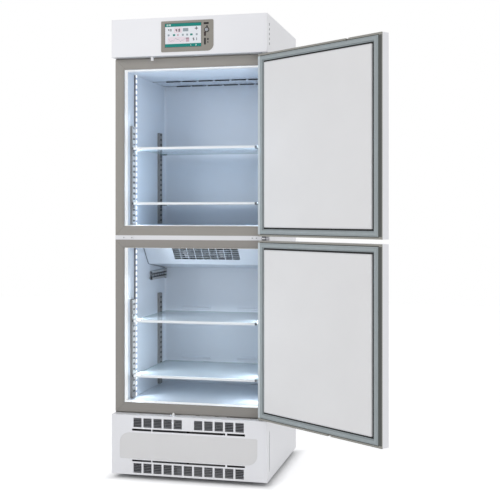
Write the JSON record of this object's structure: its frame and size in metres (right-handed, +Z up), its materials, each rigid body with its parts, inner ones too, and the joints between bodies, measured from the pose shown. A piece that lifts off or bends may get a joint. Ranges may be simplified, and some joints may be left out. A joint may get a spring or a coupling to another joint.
{
  "type": "laboratory refrigerator",
  "caption": "Upright laboratory refrigerator with two insulated spaces, separately hinged solid doors, glass shelves, a touch control head and a louvred machine compartment.",
  "frame": {"origin": "centre of the cabinet's footprint on the floor, midway between its sides and between the closed doors' outer face and the rear sheet", "axes": "+Z up, front of the cabinet towards -Y, +X to the right as seen from the front"},
  "size_m": [1.2201, 1.0235, 1.97],
  "materials": {
    "outer_white": "satin",
    "head_underside": "satin",
    "bezel": "matte",
    "screen": "gloss",
    "key": "satin",
    "pale_panel": "satin",
    "tray": "satin",
    "foam": "matte",
    "liner": "satin",
    "rail": "satin",
    "frame": "satin",
    "strip": "satin",
    "hinge": "satin",
    "coil": "satin",
    "fan_plastic": "matte",
    "rotor": "satin",
    "light": "satin",
    "shelf_glass": "gloss",
    "trim": "gloss",
    "clip": "satin",
    "gasket": "matte",
    "door_pan": "satin",
    "peg": "satin",
    "foot": "matte",
    "compressor": "satin",
    "condenser": "satin"
  },
  "bodies": {
    "cabinet": {"side_skin_left": "outer_white", "side_skin_right": "outer_white", "back_skin": "outer_white", "top_skin": "outer_white", "head_cover": "outer_white", "base_cover": "outer_white", "head_floor": "head_underside", "control_bezel": "bezel", "screen": "screen", "base_panel": "pale_panel", "base_tray": "tray", "foam_left": "foam", "foam_right": "foam", "foam_back": "foam", "foam_top": "foam", "foam_mid": "foam", "foam_bottom": "foam", "liner_upper": "liner", "liner_lower": "liner", "ceiling_panel": "liner", "evap_housing": "liner", "evap_grille": "liner", "shelf_rails": "rail", "frame_upper": "frame", "frame_lower": "frame", "mullion_strip": "strip", "mullion_cover": "strip", "hinge_mid": "strip", "hinge_top": "hinge", "hinge_bottom": "hinge", "evap_coil": "coil", "wall_channel": "coil", "evap_fan_frames": "fan_plastic", "led_strips": "light", "shelf_glass_1": "shelf_glass", "shelf_glass_2": "shelf_glass", "shelf_glass_3": "shelf_glass", "shelf_glass_4": "shelf_glass", "shelf_trims": "trim", "shelf_clips": "clip", "compressor": "compressor", "condenser": "condenser"},
    "upper_door": {"door_skin_upper": "outer_white", "door_profile_upper": "frame", "door_gasket_upper": "gasket", "door_pan_upper": "door_pan"},
    "lower_door": {"door_skin_lower": "outer_white", "door_profile_lower": "frame", "door_gasket_lower": "gasket", "door_pan_lower": "door_pan"},
    "key": {"key_switch": "key"},
    "evap_fan_left": {"evap_rotor_left": "rotor"},
    "evap_fan_right": {"evap_rotor_right": "rotor"},
    "condenser_fan": {"condenser_rotor": "rotor"},
    "upper_switch_peg": {"switch_upper": "peg"},
    "lower_switch_peg": {"switch_lower": "peg"},
    "front_left_foot": {"foot_front_left": "foot"},
    "front_right_foot": {"foot_front_right": "foot"},
    "rear_left_foot": {"foot_rear_left": "foot"},
    "rear_right_foot": {"foot_rear_right": "foot"}
  },
  "joints": [
    {"name": "upper_door_hinge", "type": "hinge", "parent": "cabinet", "child": "upper_door", "pos_m": [0.3249, -0.29915, 1.422], "axis": [0, 0, 1], "range_deg": [-144.3, 25.7]},
    {"name": "lower_door_hinge", "type": "hinge", "parent": "cabinet", "child": "lower_door", "pos_m": [0.3249, -0.29915, 0.652], "axis": [0, 0, 1], "range_deg": [-144.3, 25.7]},
    {"name": "key_turn", "type": "hinge", "parent": "cabinet", "child": "key", "pos_m": [0.083, -0.32, 1.911], "axis": [0, -1, 0], "range_deg": [-90, 0]},
    {"name": "evap_fan_left_spin", "type": "hinge", "parent": "cabinet", "child": "evap_fan_left", "pos_m": [-0.094, -0.00354, 0.94897], "axis": [0, -0.7606, -0.6493], "continuous": true},
    {"name": "evap_fan_right_spin", "type": "hinge", "parent": "cabinet", "child": "evap_fan_right", "pos_m": [0.074, -0.00354, 0.94897], "axis": [0, -0.7606, -0.6493], "continuous": true},
    {"name": "condenser_fan_spin", "type": "hinge", "parent": "cabinet", "child": "condenser_fan", "pos_m": [-0.16, -0.202, 0.135], "axis": [0, 1, 0], "continuous": true},
    {"name": "upper_switch_press", "type": "slide", "parent": "cabinet", "child": "upper_switch_peg", "axis": [0, 0, 1], "range_m": [0, 0.008], "stiffness_N_per_m": 250, "springref_m": -0.004},
    {"name": "lower_switch_press", "type": "slide", "parent": "cabinet", "child": "lower_switch_peg", "axis": [0, 0, -1], "range_m": [0, 0.008], "stiffness_N_per_m": 250, "springref_m": -0.004},
    {"name": "front_left_foot_level", "type": "slide", "parent": "cabinet", "child": "front_left_foot", "axis": [0, 0, -1], "range_m": [0, 0.012]},
    {"name": "front_right_foot_level", "type": "slide", "parent": "cabinet", "child": "front_right_foot", "axis": [0, 0, -1], "range_m": [0, 0.012]},
    {"name": "rear_left_foot_level", "type": "slide", "parent": "cabinet", "child": "rear_left_foot", "axis": [0, 0, -1], "range_m": [0, 0.012]},
    {"name": "rear_right_foot_level", "type": "slide", "parent": "cabinet", "child": "rear_right_foot", "axis": [0, 0, -1], "range_m": [0, 0.012]}
  ]
}
